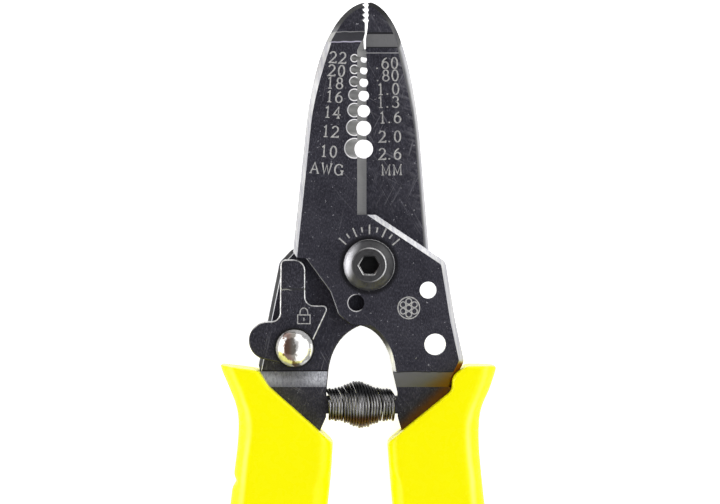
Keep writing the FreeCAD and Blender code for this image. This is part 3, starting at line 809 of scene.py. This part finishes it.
def marks(name, strokes, height, body, material, thin=0.15, thick=0.25):
    """Ribbons just above the face at that height, along strokes in mm from the pivot axis.

    They are thicker where they run upright.
    """
    bm = bmesh.new()
    for k, stroke in enumerate(strokes):
        level = height + LIFT + LAYER * (k % 5)
        closed = math.dist(stroke[0], stroke[-1]) < 1e-6 and len(stroke) > 3
        rails = []
        for i, (x, y) in enumerate(stroke):
            before = stroke[i - 1] if i else (stroke[-2] if closed else None)
            after = stroke[i + 1] if i + 1 < len(stroke) else (stroke[1] if closed else None)
            ways = []
            for a, b in ((before, (x, y)), ((x, y), after)):
                if a is not None and b is not None and math.dist(a, b) > 1e-9:
                    ways.append(Vector((b[0] - a[0], b[1] - a[1])).normalized())
            way = sum(ways, Vector((0, 0))).normalized() if len(ways) > 1 else ways[0]
            if way.length < 0.1:
                way = ways[0]
            stretch = 1 / max(abs(way.dot(ways[0])), 0.45)
            half = (thin + (thick - thin) * abs(way.y)) / 2 * stretch
            rails.append(((x - way.y * half, y + way.x * half), (x + way.y * half, y - way.x * half)))
        verts = [[bm.verts.new(at(px, py, level)) for px, py in rail] for rail in rails]
        for a, b in zip(verts, verts[1:]):
            bm.faces.new((a[0], a[1], b[1], b[0]))
    mesh = bpy.data.meshes.new(name)
    bm.to_mesh(mesh)
    bm.free()
    new_object(name, mesh, material, body)


def written(text, x, y, size, turn=0.0, gap=0.17):
    """Strokes of a row of signs centred on x, y."""
    width = sum(SIGNS[c][1] for c in text) + gap * (len(text) - 1)
    pen = -width / 2
    out = []
    c, s = math.cos(math.radians(turn)), math.sin(math.radians(turn))
    for sign in text:
        for stroke in SIGNS[sign][0]:
            points = [((pen + px) * size, (py - 0.5) * size) for px, py in stroke]
            out.append([(x + px * c - py * s, y + px * s + py * c) for px, py in points])
        pen += SIGNS[sign][1] + gap
    return out


grey = etched("etched_grey")
left_marks = []
for text, x, y in (("22", -5.0, 33.4), ("20", -5.2, 31.3), ("18", -5.5, 29.3), ("16", -5.6, 27.1),
                   ("14", -5.9, 24.6), ("12", -6.2, 21.5), ("10", -6.5, 18.3)):
    left_marks += written(text, x, y, 1.76, -4, 0.24)
left_marks += written("AWG", -6.75, 15.5, 1.7, -5, 0.22)
marks("gauge_marks_left", left_marks, FRONT_TOP, "front_half", grey)
right_marks = []
for text, x, y in ((".60", 2.9, 32.7), (".80", 3.0, 30.7), ("1.0", 3.1, 28.5), ("1.3", 3.1, 26.4),
                   ("1.6", 3.4, 23.9), ("2.0", 3.4, 20.8), ("2.6", 3.4, 18.0)):
    right_marks += written(text, x, y, 1.78, 1, 0.2)
right_marks += written("MM", 3.7, 15.4, 1.62, 1, 0.22)
marks("gauge_marks_right", right_marks, REAR_TOP, "rear_half", grey)

# Plain pictures and a tick scale: a stranded wire, a padlock, and ticks about the pivot
wire_x, wire_y, strand = 6.4, -6.9, 0.46
cable = [arc(wire_x, wire_y, 1.75, 1.75, 0, 360, 40)]
for x, y in arc(wire_x, wire_y, 1.05, 1.05, 30, 330, 5):
    cable.append(arc(x, y, strand, strand, 0, 360, 16))
cable.append(arc(wire_x, wire_y, strand, strand, 0, 360, 16))
marks("wire_picture", cable, FRONT_TOP, "front_half", grey, 0.16, 0.18)
ticks = []
for i in range(9):
    angle = math.radians(138 - 12.2 * i)
    ends = (4.95, 6.5) if i % 2 == 0 else (5.35, 6.2)
    ticks.append([(end * math.cos(angle), end * math.sin(angle)) for end in ends])
marks("tick_scale", ticks, FRONT_TOP, "front_half", grey, 0.2, 0.24)
lock_x, lock_y = -10.5, -8.6
padlock = [[(lock_x - 1.0, lock_y - 0.85), (lock_x + 1.0, lock_y - 0.85), (lock_x + 1.0, lock_y + 0.55),
            (lock_x - 1.0, lock_y + 0.55), (lock_x - 1.0, lock_y - 0.85)],
           [(lock_x + 0.62, lock_y + 0.55)] + arc(lock_x, lock_y + 0.95, 0.62, 0.72, 0, 180, 14)
           + [(lock_x - 0.62, lock_y + 0.55)],
           [(lock_x, lock_y + 0.1), (lock_x, lock_y - 0.45)]]
marks("padlock_picture", padlock, LEVER_TOP, "lock", etched("stamped_grey"), 0.14, 0.16)

# ---- floor, light, camera ------------------------------------------------------------------------
bm = bmesh.new()
bmesh.ops.create_grid(bm, x_segments=1, y_segments=1, size=3.0)
mesh = bpy.data.meshes.new("floor")
bm.to_mesh(mesh)
bm.free()
floor = new_object("floor", mesh, pale_floor("floor_pale"))


def softbox(name, place, target, size, watts):
    """A rectangular lamp at a place, aimed at the target."""
    light = bpy.data.lights.new(name, "AREA")
    light.shape = "RECTANGLE"
    light.size, light.size_y = size
    light.energy = watts
    obj = bpy.data.objects.new(name, light)
    bpy.context.scene.collection.objects.link(obj)
    obj.location = place
    obj.rotation_euler = (Vector(target) - Vector(place)).to_track_quat("-Z", "Y").to_euler()


softbox("left_box", (-0.80, 0.05, 0.25), (0, 0.03, 0), (0.9, 0.42), 3.6)
softbox("right_box", (0.75, 0.10, 0.50), (0, 0.03, 0), (0.4, 0.5), 2.0)

# The room: white all round, with a dark ragged patch overhead, brownish at left, that flat faces mirror
PATCH_MIDDLE = (-0.42, 0.14, 0.90)      # the direction of the patch's middle
PATCH_EDGE = (0.86, 0.98)
RAGGED_SIZE, RAGGED_DEPTH = 2.2, 0.45
BROWN_FROM, BROWN_TO = -0.25, -0.65     # along X
BRIGHTNESS = 1.3
world = bpy.data.worlds.new("studio")
bpy.context.scene.world = world
world.use_nodes = True
tree = world.node_tree
background = tree.nodes["Background"]


def world_node(kind, **values):
    """A node of the room's tree, with its settings."""
    node = tree.nodes.new(kind)
    for key, value in values.items():
        setattr(node, key, value)
    return node


direction = world_node("ShaderNodeTexCoord").outputs["Generated"]
ragged = world_node("ShaderNodeTexNoise")
tree.links.new(direction, ragged.inputs["Vector"])
ragged.inputs["Scale"].default_value = RAGGED_SIZE
lean = world_node("ShaderNodeVectorMath", operation="DOT_PRODUCT")
tree.links.new(direction, lean.inputs[0])
lean.inputs[1].default_value = Vector(PATCH_MIDDLE).normalized()
edge = world_node("ShaderNodeMath", operation="MULTIPLY_ADD")
tree.links.new(ragged.outputs["Fac"], edge.inputs[0])
edge.inputs[1].default_value = RAGGED_DEPTH
tree.links.new(lean.outputs["Value"], edge.inputs[2])
patch = world_node("ShaderNodeMapRange", interpolation_type="SMOOTHSTEP")
tree.links.new(edge.outputs[0], patch.inputs["Value"])
patch.inputs["From Min"].default_value, patch.inputs["From Max"].default_value = PATCH_EDGE
across = world_node("ShaderNodeSeparateXYZ")
tree.links.new(direction, across.inputs[0])
warmth = world_node("ShaderNodeMapRange", interpolation_type="SMOOTHSTEP")
tree.links.new(across.outputs[0], warmth.inputs["Value"])
warmth.inputs["From Min"].default_value = BROWN_FROM
warmth.inputs["From Max"].default_value = BROWN_TO
dark = world_node("ShaderNodeMix", data_type="RGBA")
tree.links.new(warmth.outputs[0], dark.inputs[0])
dark.inputs[6].default_value = (0.12, 0.12, 0.125, 1)
dark.inputs[7].default_value = (0.13, 0.065, 0.035, 1)
shade = world_node("ShaderNodeMix", data_type="RGBA")
tree.links.new(dark.outputs[2], shade.inputs[7])
tree.links.new(patch.outputs[0], shade.inputs[0])
shade.inputs[6].default_value = (1.0, 1.0, 1.0, 1)
tree.links.new(shade.outputs[2], background.inputs["Color"])
background.inputs["Strength"].default_value = BRIGHTNESS

camera = bpy.data.cameras.new("camera")
camera.lens = 120
camera.sensor_width = 36
camera.clip_start = 0.01
VIEW_WIDTH = 116.1    # seen at the lever's upper face, mm
eye = bpy.data.objects.new("camera", camera)
bpy.context.scene.collection.objects.link(eye)
eye.location = at(-1.45, 2.1, LEVER_TOP + VIEW_WIDTH * camera.lens / camera.sensor_width)
bpy.context.scene.camera = eye
bpy.context.scene.view_settings.view_transform = "Standard"
